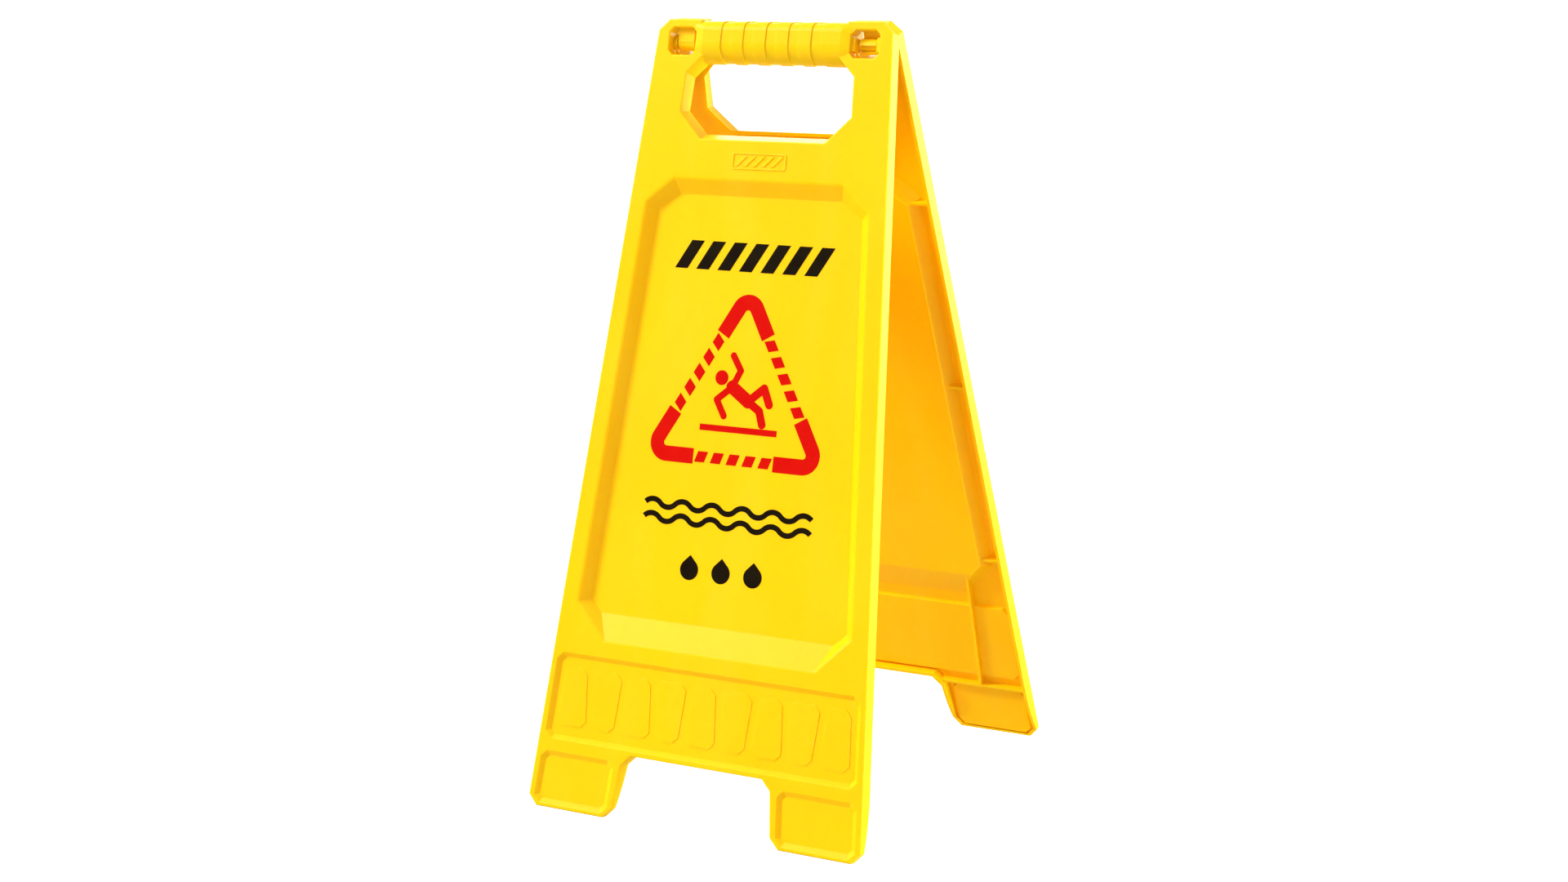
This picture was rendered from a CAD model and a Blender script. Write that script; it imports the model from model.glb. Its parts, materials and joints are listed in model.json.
"""Looks for the folding wet floor sign: satin moulded plastic, printed inks, floor, light, camera."""
import json
import math

import bpy
from mathutils import Matrix, Vector

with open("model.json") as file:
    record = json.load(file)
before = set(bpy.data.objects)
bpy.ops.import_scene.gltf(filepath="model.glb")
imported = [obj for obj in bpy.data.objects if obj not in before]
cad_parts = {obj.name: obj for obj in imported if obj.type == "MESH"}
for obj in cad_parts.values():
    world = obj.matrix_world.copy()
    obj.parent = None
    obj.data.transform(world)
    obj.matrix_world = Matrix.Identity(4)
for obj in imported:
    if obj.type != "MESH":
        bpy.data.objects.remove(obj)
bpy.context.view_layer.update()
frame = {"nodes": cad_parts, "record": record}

MM = 0.001

# Camera, in degrees and metres: it looks from the front right and a little above.
CAMERA_AZIMUTH = 29.36
CAMERA_ELEVATION = 12.40
CAMERA_ROLL = -1.06
CAMERA_DISTANCE = 2.0462
CAMERA_TARGET = (-0.0022, 0.0, 0.2721)
CAMERA_LENS = 59.46
SENSOR_WIDTH = 36.0

# Colours, in linear light.
PLASTIC_YELLOW = (1.0, 0.60, 0.0, 1.0)
PLASTIC_WARM = (1.0, 0.575, 0.0, 1.0)
PLASTIC_SCUFF = (1.0, 0.76, 0.07, 1.0)
INK_BLACK = (0.007, 0.003, 0.0, 1.0)
INK_BLACK_THIN = (0.014, 0.009, 0.001, 1.0)
INK_RED = (0.62, 0.002, 0.0, 1.0)
INK_RED_THIN = (0.67, 0.006, 0.0, 1.0)
FLOOR_WHITE = (0.60, 0.60, 0.60, 1.0)
FLOOR_GREY = (0.57, 0.57, 0.565, 1.0)
WHITE = (1.0, 1.0, 1.0, 1.0)

# Plastic: noise cells in a metre, then widths and depths of what they shape.
CLOUD_CELLS = 7.0
FLOW_CELLS = (30.0, 30.0, 4.0)
RIPPLE_CELLS = 45.0
WEAR_CELLS = 120.0
GRAIN_CELLS = 2600.0
SCRATCH_CELLS = (900.0, 900.0, 22.0)
SCRATCH_TURN = 0.3
WEAR_WIDTH = 1.2 * MM
RIPPLE_DEPTH = 0.6 * MM
GRAIN_DEPTH = 0.05 * MM
SCRATCH_DEPTH = 0.05 * MM
PLASTIC_SPECULAR = 0.12
GLOW_WEIGHT = 0.5
GLOW_RADIUS = (1.0, 0.45, 0.03)
GLOW_REACH = 5.0 * MM

# Ink: the screen's mesh, uneven patches, and pinholes that show the plastic.
PATCH_CELLS = 60.0
PINHOLE_CELLS = 1500.0
MESH_CELLS = 3200.0
MESH_DEPTH = 0.04 * MM
INK_SPECULAR = 0.04

# Floor half width in metres, its finish, and the glow that lifts it to white in view.
FLOOR_REACH = 12.0
FLOOR_CELLS = 3.0
FLOOR_ROUGHNESS = 0.75
FLOOR_SPECULAR = 0.1
FLOOR_LIFT = 0.75

# Dome brightness at the horizon and overhead, the heights between which it grows, and its lift.
DOME_HORIZON = 0.60
DOME_TOP = 0.78
DOME_LOW = 0.05
DOME_HIGH = 0.75
DOME_LIFT = 0.45

# The key: where it shines from, its strength, and how wide it looks in degrees.
KEY_FROM = (-0.72, -0.38, 0.58)
KEY_STRENGTH = 2.35
KEY_SPREAD = 10.0

# Panels of light: position, target, width and height in metres, and power in watts.
LIGHT_PANELS = {
    "softbox": ((-0.7, -0.8, 1.5), (0.0, -0.05, 0.5), 0.6, 0.6, 6.5),
    "side": ((1.6, 0.0, 0.25), (0.0, 0.05, 0.25), 0.2, 0.6, 26.0),
    "rim_right": ((1.4, 2.2, 0.55), (0.1, 0.0, 0.3), 1.0, 1.0, 24.0),
    "rim_left": ((-1.2, 2.1, 1.1), (0.0, 0.0, 0.5), 0.8, 0.8, 16.0),
}

# A colour Mix node's two colours and its result, which share their names with other sockets.
MIX_FIRST, MIX_SECOND, MIX_RESULT = 6, 7, 2


# ------------------------------------------------------------------ node helpers

def new_material(name):
    material = bpy.data.materials.new(name)
    material.use_nodes = True
    material.node_tree.nodes.clear()
    return material, material.node_tree


def add_node(tree, kind, inputs=None, **settings):
    """A node with its properties set, and each named input given a value or a socket to follow."""
    node = tree.nodes.new(kind)
    for key, value in settings.items():
        setattr(node, key, value)
    for key, value in (inputs or {}).items():
        if isinstance(value, bpy.types.NodeSocket):
            tree.links.new(value, node.inputs[key])
        else:
            node.inputs[key].default_value = value
    return node


def object_place(tree):
    return add_node(tree, "ShaderNodeTexCoord").outputs["Object"]


def seen_by_camera(tree):
    return add_node(tree, "ShaderNodeLightPath").outputs["Is Camera Ray"]


def noise(tree, vector, scale, detail):
    inputs = {"Vector": vector, "Scale": scale, "Detail": detail}
    return add_node(tree, "ShaderNodeTexNoise", inputs).outputs["Fac"]


def remap(tree, value, low, high, out_low, out_high):
    inputs = {"Value": value, "From Min": low, "From Max": high, "To Min": out_low, "To Max": out_high}
    return add_node(tree, "ShaderNodeMapRange", inputs).outputs["Result"]


def mix_colour(tree, factor, first, second):
    inputs = {"Factor": factor, MIX_FIRST: first, MIX_SECOND: second}
    return add_node(tree, "ShaderNodeMix", inputs, data_type="RGBA").outputs[MIX_RESULT]


def combine(tree, operation, first, second):
    inputs = {0: first, 1: second}
    return add_node(tree, "ShaderNodeMath", inputs, operation=operation).outputs["Value"]


def bump(tree, height, strength, distance, normal=None):
    inputs = {"Height": height, "Strength": strength, "Distance": distance}
    if normal is not None:
        inputs["Normal"] = normal
    return add_node(tree, "ShaderNodeBump", inputs).outputs["Normal"]


def stretched(tree, vector, scale, turn=0.0):
    inputs = {"Vector": vector, "Scale": scale, "Rotation": (0.0, 0.0, turn)}
    return add_node(tree, "ShaderNodeMapping", inputs).outputs["Vector"]


def edge_mask(tree, radius):
    """1 on convex and concave edges, 0 on flats, from how far a rounded normal differs."""
    rounded = add_node(tree, "ShaderNodeBevel", {"Radius": radius}, samples=4)
    geometry = add_node(tree, "ShaderNodeNewGeometry")
    inputs = {0: rounded.outputs["Normal"], 1: geometry.outputs["Normal"]}
    dot = add_node(tree, "ShaderNodeVectorMath", inputs, operation="DOT_PRODUCT")
    return remap(tree, dot.outputs["Value"], 0.995, 0.90, 0.0, 1.0)


def add_surface(tree, inputs):
    """End a material's nodes with one principled surface."""
    shader = add_node(tree, "ShaderNodeBsdfPrincipled", inputs)
    add_node(tree, "ShaderNodeOutputMaterial", {"Surface": shader.outputs["BSDF"]})


# ------------------------------------------------------------------ materials

def yellow_plastic():
    """Satin polypropylene: faint flow marks, fine texture, soft translucency, scuffed edges."""
    material, tree = new_material("yellow_plastic")
    where = object_place(tree)
    cloud = noise(tree, where, CLOUD_CELLS, 2.0)
    flow = noise(tree, stretched(tree, where, FLOW_CELLS), 1.0, 4.0)
    grain = noise(tree, where, GRAIN_CELLS, 2.0)
    ripple = noise(tree, where, RIPPLE_CELLS, 2.0)
    scratch = noise(tree, stretched(tree, where, SCRATCH_CELLS, SCRATCH_TURN), 1.0, 2.0)
    patches = remap(tree, noise(tree, where, WEAR_CELLS, 4.0), 0.45, 0.70, 0.0, 0.55)

    base = mix_colour(tree, remap(tree, cloud, 0.35, 0.65, 0.0, 1.0), PLASTIC_YELLOW, PLASTIC_WARM)
    base = mix_colour(tree, remap(tree, flow, 0.45, 0.75, 0.0, 0.10), base, PLASTIC_SCUFF)
    wear = combine(tree, "MULTIPLY", edge_mask(tree, WEAR_WIDTH), patches)
    base = mix_colour(tree, wear, base, PLASTIC_SCUFF)

    normal = bump(tree, ripple, 0.05, RIPPLE_DEPTH)
    normal = bump(tree, grain, 0.10, GRAIN_DEPTH, normal)
    normal = bump(tree, remap(tree, scratch, 0.68, 0.74, 0.0, 1.0), 0.06, SCRATCH_DEPTH, normal)
    add_surface(tree, {
        "Base Color": base,
        "Roughness": remap(tree, grain, 0.3, 0.7, 0.30, 0.40),
        "Specular IOR Level": PLASTIC_SPECULAR,
        "Subsurface Weight": GLOW_WEIGHT,
        "Subsurface Radius": GLOW_RADIUS,
        "Subsurface Scale": GLOW_REACH,
        "Normal": normal,
    })
    return material


def ink(name, colour, thin):
    """Screen-printed ink: even colour with a faint mesh, a few pinholes, and a soft sheen."""
    material, tree = new_material(name)
    where = object_place(tree)
    patch = noise(tree, where, PATCH_CELLS, 3.0)
    pinholes = remap(tree, noise(tree, where, PINHOLE_CELLS, 2.0), 0.76, 0.80, 0.0, 0.5)
    tone = mix_colour(tree, remap(tree, patch, 0.35, 0.7, 0.0, 0.5), colour, thin)
    add_surface(tree, {
        "Base Color": mix_colour(tree, pinholes, tone, PLASTIC_YELLOW),
        "Roughness": remap(tree, patch, 0.3, 0.7, 0.45, 0.6),
        "Specular IOR Level": INK_SPECULAR,
        "Normal": bump(tree, noise(tree, where, MESH_CELLS, 1.0), 0.10, MESH_DEPTH),
    })
    return material


def floor_material():
    """A pale matt floor, lifted to white where it is looked at but not where it lights the sign."""
    material, tree = new_material("studio_floor")
    tone = noise(tree, object_place(tree), FLOOR_CELLS, 2.0)
    add_surface(tree, {
        "Base Color": mix_colour(tree, tone, FLOOR_WHITE, FLOOR_GREY),
        "Roughness": FLOOR_ROUGHNESS,
        "Specular IOR Level": FLOOR_SPECULAR,
        "Emission Color": WHITE,
        "Emission Strength": combine(tree, "MULTIPLY", seen_by_camera(tree), FLOOR_LIFT),
    })
    return material


def dress_nodes():
    """Give every CAD node its material, by the record's material slot."""
    slots = {
        "yellow_plastic": yellow_plastic(),
        "black_ink": ink("black_ink", INK_BLACK, INK_BLACK_THIN),
        "red_ink": ink("red_ink", INK_RED, INK_RED_THIN),
    }
    for part in frame["record"]["subparts"]:
        mesh = frame["nodes"][part["node"]].data
        mesh.materials.clear()
        mesh.materials.append(slots[part["material_slot"]])


# ------------------------------------------------------------------ studio

def add_object(name, data):
    item = bpy.data.objects.new(name, data)
    bpy.context.scene.collection.objects.link(item)
    return item


def aim(item, position, target, roll=0.0):
    """Point an object's -Z at the target, with its X level, then roll it about its view."""
    forward = (Vector(target) - Vector(position)).normalized()
    right = forward.cross(Vector((0, 0, 1))).normalized()
    up = right.cross(forward)
    rotation = Matrix((right, up, -forward)).transposed()
    rotation = rotation @ Matrix.Rotation(roll, 3, "Z")
    item.matrix_world = Matrix.Translation(position) @ rotation.to_4x4()


def make_camera():
    data = bpy.data.cameras.new("camera")
    data.lens = CAMERA_LENS
    data.sensor_width = SENSOR_WIDTH
    camera = add_object("camera", data)
    azimuth, elevation = math.radians(CAMERA_AZIMUTH), math.radians(CAMERA_ELEVATION)
    back = Vector((math.sin(azimuth) * math.cos(elevation),
                   -math.cos(azimuth) * math.cos(elevation), math.sin(elevation)))
    position = Vector(CAMERA_TARGET) + back * CAMERA_DISTANCE
    aim(camera, position, CAMERA_TARGET, math.radians(CAMERA_ROLL))
    bpy.context.scene.camera = camera


def make_floor():
    mesh = bpy.data.meshes.new("studio_floor")
    corners = [(-1, -1), (1, -1), (1, 1), (-1, 1)]
    mesh.from_pydata([(x * FLOOR_REACH, y * FLOOR_REACH, 0) for x, y in corners], [], [(0, 1, 2, 3)])
    mesh.materials.append(floor_material())
    add_object("studio_floor", mesh)


def make_dome():
    """A white dome, brighter overhead, lifted to white where it is looked at."""
    world = bpy.data.worlds.new("studio")
    world.use_nodes = True
    tree = world.node_tree
    direction = add_node(tree, "ShaderNodeTexCoord").outputs["Generated"]
    height = add_node(tree, "ShaderNodeSeparateXYZ", {"Vector": direction}).outputs["Z"]
    strength = remap(tree, height, DOME_LOW, DOME_HIGH, DOME_HORIZON, DOME_TOP)
    lift = combine(tree, "MULTIPLY", seen_by_camera(tree), DOME_LIFT)
    background = tree.nodes["Background"]
    background.inputs["Color"].default_value = WHITE
    tree.links.new(combine(tree, "ADD", strength, lift), background.inputs["Strength"])
    bpy.context.scene.world = world


def make_key():
    """A broad sun from the upper left front."""
    data = bpy.data.lights.new("key", "SUN")
    data.energy = KEY_STRENGTH
    data.angle = math.radians(KEY_SPREAD)
    aim(add_object("key", data), KEY_FROM, (0.0, 0.0, 0.0))


def make_light_panels():
    """A near softbox at the upper left, one panel at the right and two behind, all out of view."""
    for name, (position, target, width, height, power) in LIGHT_PANELS.items():
        data = bpy.data.lights.new(name, "AREA")
        data.shape = "RECTANGLE"
        data.size, data.size_y = width, height
        data.energy = power
        light = add_object(name, data)
        light.visible_camera = False
        aim(light, position, target)


dress_nodes()
make_camera()
make_floor()
make_dome()
make_key()
make_light_panels()
scene = bpy.context.scene
scene.view_settings.view_transform = "Standard"
scene.view_settings.look = "None"
